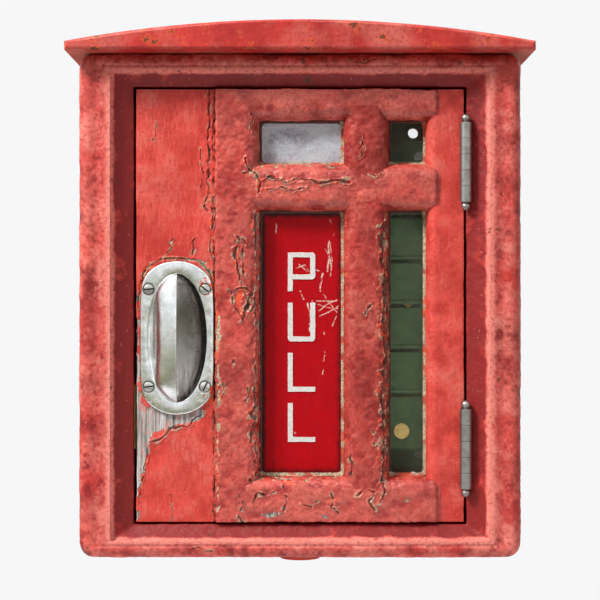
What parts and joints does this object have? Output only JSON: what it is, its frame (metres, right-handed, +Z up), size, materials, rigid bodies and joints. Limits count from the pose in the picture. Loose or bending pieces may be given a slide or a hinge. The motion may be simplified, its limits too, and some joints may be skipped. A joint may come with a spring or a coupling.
{
  "type": "street fire alarm box",
  "caption": "Wall-mounted fire alarm box with a red timber and glass door, flush pull, weather hood, clockwork signal, bell, alarm hook and line terminals.",
  "frame": {"origin": "centre of the four wall bolts, on the back face of the case", "axes": "+X to the right as a person faces the box, +Y into the wall, +Z up; the front looks along -Y"},
  "size_m": [0.372, 0.168, 0.443],
  "materials": {
    "red_paint_iron": "weathered red gloss paint on cast iron",
    "red_paint_timber": "flaking red paint over old timber",
    "dark_red_plate": "deep red glossy enamel",
    "letter_paint": "off-white paint, worn",
    "worn_steel": "polished steel, scratched and dulled",
    "cup_steel": "dull polished steel",
    "screw_steel": "worn slotted heads",
    "dark_steel": "plain steel, dulled",
    "opal_glass": "white flashed glass",
    "clear_glass": "clear, slightly dirty",
    "felt": "black felt",
    "green_enamel": "grey-green enamel",
    "brass": "lacquered, dulled",
    "moulded_black": "black moulding",
    "porcelain": "glazed white porcelain",
    "bell_metal": "turned bell metal",
    "spring_steel": "blued spring steel",
    "pale_timber": "plain varnished timber"
  },
  "bodies": {
    "root": {"back_box": "red_paint_iron", "front_frame": "red_paint_iron", "frame_screws": "dark_steel", "hood": "red_paint_iron", "hood_bolts": "red_paint_iron", "door_gasket": "felt", "catch_spring": "brass", "hinge_leaves_case": "dark_steel", "hinge_screws_case": "screw_steel", "hinge_pins": "dark_steel", "instrument_plate": "green_enamel", "plate_standoffs": "dark_steel", "plate_screws": "screw_steel", "posts": "brass", "terminal_cover": "green_enamel", "cover_studs": "brass", "terminal_block": "moulded_black", "terminal_brass": "brass", "line_fuses": "porcelain", "lamp_holder": "porcelain", "lamp_bulb": "opal_glass", "gong": "bell_metal", "movement_back_plate": "brass", "movement_front_plate": "brass", "movement_pillars": "brass", "movement_screws": "screw_steel", "contact_block": "moulded_black", "contact_springs": "brass", "hook_guide": "green_enamel", "hook_spring": "spring_steel", "switch_body": "brass"},
    "door": {"lock_stile": "red_paint_timber", "left_glazing_bar": "red_paint_timber", "middle_glazing_bar": "red_paint_timber", "hinge_stile": "red_paint_timber", "top_rail": "red_paint_timber", "cross_rail": "red_paint_timber", "bottom_rail": "red_paint_timber", "pull_plate": "dark_red_plate", "pull_letters": "letter_paint", "opal_pane": "opal_glass", "window_panes": "clear_glass", "glazing_beads": "pale_timber", "flush_pull": "worn_steel", "finger_cup": "cup_steel", "pull_screws": "screw_steel", "hinge_leaves_door": "dark_steel", "hinge_screws_door": "screw_steel"},
    "switch_plunger": {"switch_plunger": "screw_steel"},
    "alarm_hook": {"hook_slider": "dark_steel", "hook_handle": "screw_steel"},
    "main_train": {"main_arbor": "screw_steel", "spring_drum_wheel": "brass", "code_wheel": "brass"},
    "second_train": {"second_arbor": "screw_steel", "second_wheel": "brass"},
    "fly_train": {"fly_arbor": "screw_steel", "fly_vane": "brass"},
    "contact_lever": {"contact_lever": "screw_steel"},
    "bell_hammer": {"bell_hammer": "brass"}
  },
  "joints": [
    {"name": "door_hinge", "type": "hinge", "parent": "root", "child": "door", "pos_m": [0.133, -0.143, 0], "axis": [0, 0, 1], "range_deg": [0, 110]},
    {"name": "switch_plunger_slide", "type": "slide", "parent": "root", "child": "switch_plunger", "axis": [0, -1, 0], "range_m": [0, 0.006]},
    {"name": "alarm_hook_slide", "type": "slide", "parent": "root", "child": "alarm_hook", "axis": [0, 0, -1], "range_m": [0, 0.028], "stiffness_N_per_m": 150, "springref_m": -0.01, "deforming": ["hook_spring"]},
    {"name": "main_arbor_spin", "type": "hinge", "parent": "root", "child": "main_train", "pos_m": [-0.048, -0.05, 0.022], "axis": [0, 1, 0], "continuous": true},
    {"name": "second_arbor_spin", "type": "hinge", "parent": "root", "child": "second_train", "pos_m": [-0.03, -0.05, 0.05318], "axis": [0, 1, 0], "continuous": true},
    {"name": "fly_spin", "type": "hinge", "parent": "root", "child": "fly_train", "pos_m": [-0.03624, -0.05, 0.08252], "axis": [0, 1, 0], "continuous": true},
    {"name": "contact_lever_rock", "type": "hinge", "parent": "root", "child": "contact_lever", "pos_m": [-0.014, -0.073, 0.051], "axis": [0, 1, 0], "range_deg": [0, 6], "stiffness_Nm_per_rad": 0.02, "springref_deg": -17.19},
    {"name": "hammer_swing", "type": "hinge", "parent": "root", "child": "bell_hammer", "pos_m": [-0.026, -0.05, -0.052], "axis": [0, 1, 0], "range_deg": [0, 5], "stiffness_Nm_per_rad": 0.02, "springref_deg": -17.19}
  ],
  "couplings": [
    {"joint": "switch_plunger_slide", "follows": "door_hinge", "m_per_rad": 0.0031221},
    {"joint": "second_arbor_spin", "follows": "main_arbor_spin", "ratio": -5},
    {"joint": "fly_spin", "follows": "main_arbor_spin", "ratio": 25}
  ]
}
